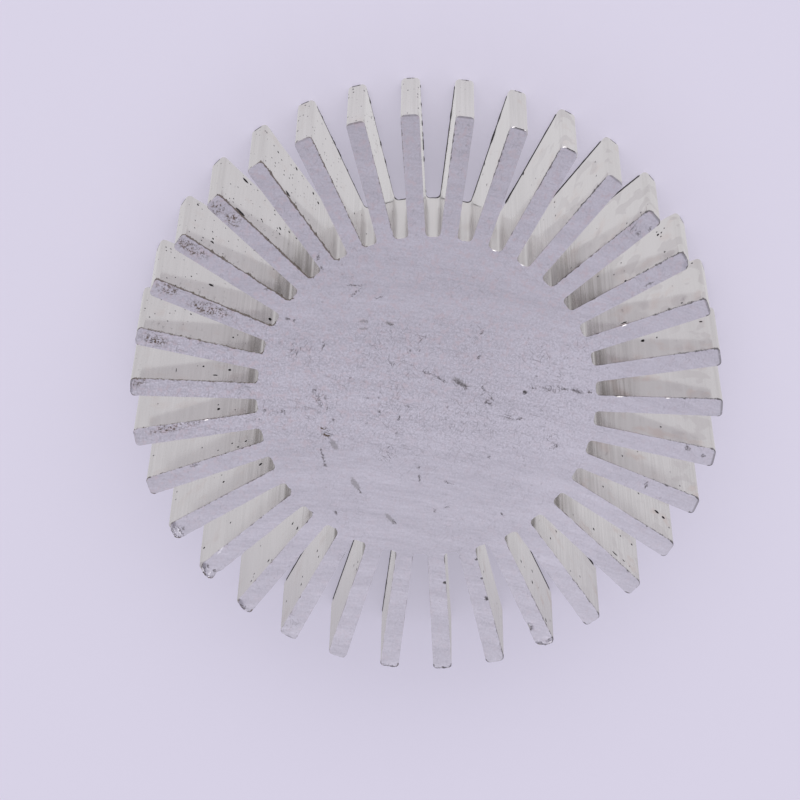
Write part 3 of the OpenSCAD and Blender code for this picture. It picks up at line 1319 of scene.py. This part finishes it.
@dataclass(frozen=True)
class FlankFinish:
    """Drawn wall of a fin: pale, with die lines, painted shade along the slot floor, painted highlights
    and dark edges.
    """

    pale: Colour = (0.853, 0.836, 0.85)
    drawn: Colour = (0.737, 0.72, 0.732)
    smudge: Colour = (0.76, 0.675, 0.66)
    # Colour of the painted shade along the slot floors
    root_shade: Colour = (0.42, 0.40, 0.375)
    mottle: Colour = (0.655, 0.62, 0.64)
    # Colour of painted highlights: the middle of the upper right flanks and the floors of the top slots
    painted_gleam: Colour = (0.95, 0.935, 0.93)
    dirt: Colour = (0.03, 0.027, 0.027)
    brown: Colour = (0.10, 0.078, 0.05)
    black: Colour = (0.07, 0.066, 0.062)
    die_lines: DrawnGrain = DrawnGrain(5.0, 0.04, 3.0, 0.85, (0.36, 0.64))
    broad_lines: DrawnGrain = DrawnGrain(1.2, 0.05)
    skin: DrawnGrain = DrawnGrain(6.0, 3.0, 3.0, 0.8)
    clouds: DrawnGrain = DrawnGrain(0.4, 0.22, 3.0, 0.5, (0.55, 0.72))
    patches: DrawnGrain = DrawnGrain(0.5, 0.28, 2.0, 0.4, (0.54, 0.59))
    root_lines: DrawnGrain = DrawnGrain(3.0, 0.03, 2.0, 0.6, (0.44, 0.56))
    flecks: DrawnGrain = DrawnGrain(4.0, 2.5, 2.0, 0.7, (0.68, 0.78))
    edge_breaks: DrawnGrain = DrawnGrain(2.0, 1.0, 4.0, 0.75)
    edge_swells: DrawnGrain = DrawnGrain(0.9, 1.0, 4.0, 0.75, (0.46, 0.7))
    swell_row: float = 7.0
    streak_levels: Span = (0.38, 0.58)
    front_levels: Span = (0.72, 0.95)
    front_depths: Span = (0.28, 0.06)
    rear_levels: Span = (0.6, 0.78)
    rear_heights: Span = (0.3, 0.1)
    bump_depth: float = 0.01
    bump_strength: float = 0.15

    def material(self, section: BarSection, face_height: float) -> bpy.types.Material:
        """Makes the material.

        Args:
            section: section of the bar, which the specks are placed on.
            face_height: height of the upper end.

        Returns:
            The material.
        """
        made, bench = new_material("drawn_flank")
        place = bench.place()
        x, y, z = (bench.axis(place, name) for name in "XYZ")
        flank_map = Wire(bench, bench.node("ShaderNodeUVMap", {"uv_map": "flank_run"}).outputs[0])
        run = bench.axis(flank_map, "X")
        # Zones by distance out and by place around the bar
        root = bench.attribute("root_band")
        out = bench.length(bench.flat(place))
        foot = out.ramp(22.5, 17.5) * out.ramp(17.2, 17.7)
        inner = out.ramp(18.4, 17.8)
        top_floor = out.ramp(18.8, 17.8) * y.ramp(11.0, 16.0)
        top_foot = out.ramp(20.5, 17.6) * y.ramp(10.0, 15.0)
        lower = y.ramp(-3.0, -10.0)
        lower_right = lower * (0.15 + 0.65 * x.ramp(-2.0, 8.0))
        below_top = y.ramp(18.0, 12.0)
        upper = y.ramp(2.0, 10.0)
        right = x.ramp(0.0, 12.0)
        upper_left_tips = (y - 0.9 * x).ramp(26.0, 31.0)
        upper_right = out.ramp(20.5, 24.0) * x.ramp(8.0, 12.0) * y.ramp(6.0, 12.0)
        right_tips = out.ramp(24.5, 27.0) * x.ramp(14.0, 20.0)
        # Die lines over the pale wall, with clouds, duller patches and a painted highlight on the upper
        # right flanks
        lines = self.die_lines.on(run, z)
        broad = self.broad_lines.on(run, z)
        grain = self.skin.on(run, z)
        drag = 0.3 + 1.3 * foot + 0.5 * root + lower_right
        tone = 1.7 * (grain - 0.5) + 0.9 * (broad - 0.5) + drag * (lines - 0.5)
        cloud = self.clouds.on(run, z)
        colour = bench.blend(0.5 + tone, self.drawn, self.pale)
        colour = bench.blend(cloud * (0.4 + 0.55 * right), colour, self.smudge)
        # Painted highlight on the middle of the upper right flanks
        colour = bench.blend(0.4 * upper_right, colour, self.painted_gleam)
        rubbed = self.patches.on(run, z) * upper_right.most(right_tips)
        colour = bench.blend(0.5 * rubbed, colour, self.mottle)
        # Painted shade towards the slot floors, as streaks and bands along the die lines, and painted
        # light on the floors of the top slots
        streaks = (1 - lines) * foot * broad.ramp(*self.streak_levels) * below_top
        streaks = (0.5 + 0.4 * lower) * streaks * (0.35 + 1.3 * root)
        bands = root * (0.35 + 0.75 * self.root_lines.on(run, z))
        colour = bench.blend(bands.most(streaks), colour, self.root_shade)
        # Painted light on the floors of the top slots
        colour = bench.blend(0.65 * top_floor, colour, self.painted_gleam)
        # Specks
        ragged = bench.flat(bench.ragged(flank_map, 3.0, 0.12))
        dots = bench.spots(bench.join(run, z * 0.4), scale=1.1, radius=0.14, share=0.1)
        pepper = bench.spots(bench.join(run, z * 0.45), scale=2.0, radius=0.22, share=0.35)
        pepper = pepper * upper_left_tips
        dirt = joined(
            Speck(*row).mask(bench, ragged, section.run_at(fin, side, row[0]))
            for side, fins in FLANK_SPECKS.items() for fin, rows in fins.items() for row in rows
        )
        dirt = dirt.most(0.7 * dots).most(0.9 * pepper).most(0.3 * self.flecks.on(run, z))
        # Dark lines along the edges of both ends
        along = self.edge_breaks.on(run, 0.0)
        thick = self.edge_swells.on(run, self.swell_row) * (0.35 + 0.65 * upper)
        front = (bench.attribute("front_line") + 1.6 * (along - 0.5)).ramp(*self.front_levels)
        start, end = (face_height - depth for depth in self.front_depths)
        front = front * (z + 0.9 * thick * front).ramp(start, end)
        rear = (bench.attribute("rear_line") + 0.8 * (along - 0.5)).ramp(*self.rear_levels)
        rear = rear * (z * (1 + inner) - 0.3 * along).ramp(*self.rear_heights)
        edge_colour = bench.blend(x.ramp(*BLACK_SIDE), self.brown, self.black)
        colour = bench.blend(front * 0.85, colour, edge_colour)
        colour = bench.blend((0.95 * dirt).most(0.92 * rear), colour, self.dirt)
        soiled = front.most(dirt).most(rear)
        roughness = 0.08 + 0.09 * lower + 0.1 * root + 0.1 * inner + 0.06 * cloud + 0.3 * soiled
        roughness = roughness + 0.1 * top_foot
        normal = bench.bump(lines * (0.3 + root), self.bump_depth, self.bump_strength)
        bench.metal(colour, roughness, 1 - soiled, normal)
        return made


@dataclass(frozen=True)
class Lamp:
    """A soft rectangular lamp that faces the origin, placed and sized in millimetres."""

    name: str
    place: Triple
    size: Span
    watts: float
    colour: Colour

    def hang(self) -> None:
        """Hangs the lamp, out of the camera's sight."""
        data = bpy.data.lights.new(self.name, "AREA")
        data.shape = "RECTANGLE"
        data.size = self.size[0] * MM
        data.size_y = self.size[1] * MM
        data.energy = self.watts
        data.color = self.colour
        made = placed(self.name, data)
        made.visible_camera = False
        made.location = Vector(self.place) * MM
        made.rotation_euler = (-Vector(self.place)).to_track_quat("-Z", "Y").to_euler()


@dataclass(frozen=True)
class Studio:
    """Floor, lights and the camera, which looks down on the upper sawn end."""

    face_height: float
    tilt: float = 20.655
    turn: float = 0.815
    roll: float = -1.285
    distance: float = 516.23
    shift_right: float = 2.6825
    shift_up: float = 0.2807
    lens: float = 229.6
    sensor: float = 36.0
    backdrop: Colour = (0.73, 0.70, 0.825)
    # What the metal sees of the floor: darker towards -Y, a painted shadow, and lighter far out on +Y, a
    # painted light
    mirrored: Colour = (0.66, 0.645, 0.66)
    mirrored_low: Colour = (0.53, 0.508, 0.545)
    mirrored_far: Colour = (0.74, 0.725, 0.75)
    low_side: Span = (-14.0, -32.0)
    far_side: Span = (22.0, 36.0)
    camera_share: float = 0.5
    floor_half: float = 2.0
    room: Colour = (0.55, 0.53, 0.60)
    bounces: int = 20
    lamps: tuple[Lamp, ...] = (
        Lamp("softbox", (50, 550, 420), (1000, 700), 3.1, (1.0, 0.98, 0.94)),
        Lamp("panel", (0, -260, 400), (300, 260), 0.23, (0.98, 0.97, 1.0)),
        Lamp("near_panel", (0, -150, 170), (120, 100), 0.014, (0.98, 0.97, 1.0)),
    )

    def camera(self) -> None:
        """Places the camera: off the bar's axis by the tilt, then turned about the axis and rolled."""
        data = bpy.data.cameras.new("camera")
        data.lens = self.lens
        data.sensor_width = self.sensor
        made = placed("camera", data)
        made.matrix_world = (
            Matrix.Translation((0, 0, self.face_height * MM))
            @ Matrix.Rotation(math.radians(self.turn), 4, "Z")
            @ Matrix.Rotation(math.radians(-self.tilt), 4, "X")
            @ Matrix.Rotation(math.radians(-self.roll), 4, "Z")
            @ Matrix.Translation(Vector((-self.shift_right, -self.shift_up, self.distance)) * MM)
        )
        bpy.context.scene.camera = made

    def floor(self) -> None:
        """Lays a pale floor under the slice, which glows where the camera or the metal looks at it."""
        half = self.floor_half
        mesh = bpy.data.meshes.new("floor")
        corners = [(-half, -half, 0), (half, -half, 0), (half, half, 0), (-half, half, 0)]
        mesh.from_pydata(corners, [], [(0, 1, 2, 3)])
        made = placed("floor", mesh)
        material, bench = new_material("floor")
        path = bench.node("ShaderNodeLightPath")
        camera_ray = Wire(bench, path.outputs["Is Camera Ray"])
        glossy_ray = Wire(bench, path.outputs["Is Glossy Ray"])
        glossy_ray = glossy_ray.most(Wire(bench, path.outputs["Is Transmission Ray"]))
        matt = bench.node("ShaderNodeBsdfDiffuse", inputs={"Color": (*self.backdrop, 1.0)})
        y = bench.axis(bench.place(), "Y")
        # A painted shadow towards -Y and painted light far out on +Y, seen only in the metal
        seen = bench.blend(y.ramp(*self.low_side), self.mirrored, self.mirrored_low)
        seen = bench.blend(y.ramp(*self.far_side), seen, self.mirrored_far)
        paper = bench.blend(glossy_ray, self.backdrop, seen)
        glow = bench.node("ShaderNodeEmission", inputs={"Color": paper, "Strength": 1.0})
        mix = bench.node("ShaderNodeMixShader", inputs={
            0: (self.camera_share * camera_ray).most(glossy_ray),
            1: Wire(bench, matt.outputs[0]), 2: Wire(bench, glow.outputs[0]),
        })
        bench.node("ShaderNodeOutputMaterial", inputs={"Surface": Wire(bench, mix.outputs[0])})
        made.data.materials.append(material)

    def lights(self) -> None:
        """Sets the even light of the room, a soft lamp on one side and weak ones on the other."""
        world = bpy.data.worlds.new("room")
        bpy.context.scene.world = world
        world.use_nodes = True
        bench = NodeBench(world.node_tree)
        room = bench.node("ShaderNodeBackground", inputs={"Color": (*self.room, 1.0), "Strength": 1.0})
        bench.node("ShaderNodeOutputWorld", inputs={"Surface": Wire(bench, room.outputs[0])})
        for lamp in self.lamps:
            lamp.hang()


def main() -> None:
    """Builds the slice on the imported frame, dresses it and sets it in the studio."""
    logging.basicConfig(level=logging.INFO, format="%(name)s: %(message)s")
    low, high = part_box(NODE)
    length = (high.z - low.z) / MM
    sink = HeatSink(length, BarSection(outer_r=(high.x - low.x) / 2 / MM))
    piece = sink.build()
    piece.data.materials.append(SawnFinish().material(length))
    piece.data.materials.append(FlankFinish().material(sink.section, length))
    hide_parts(NODE)
    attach(piece, BODY)
    studio = Studio(length)
    studio.camera()
    studio.floor()
    studio.lights()
    bpy.context.scene.view_settings.view_transform = "Standard"
    bpy.context.scene.cycles.max_bounces = studio.bounces
    bpy.context.scene.cycles.glossy_bounces = studio.bounces


if __name__ == "__main__":
    main()
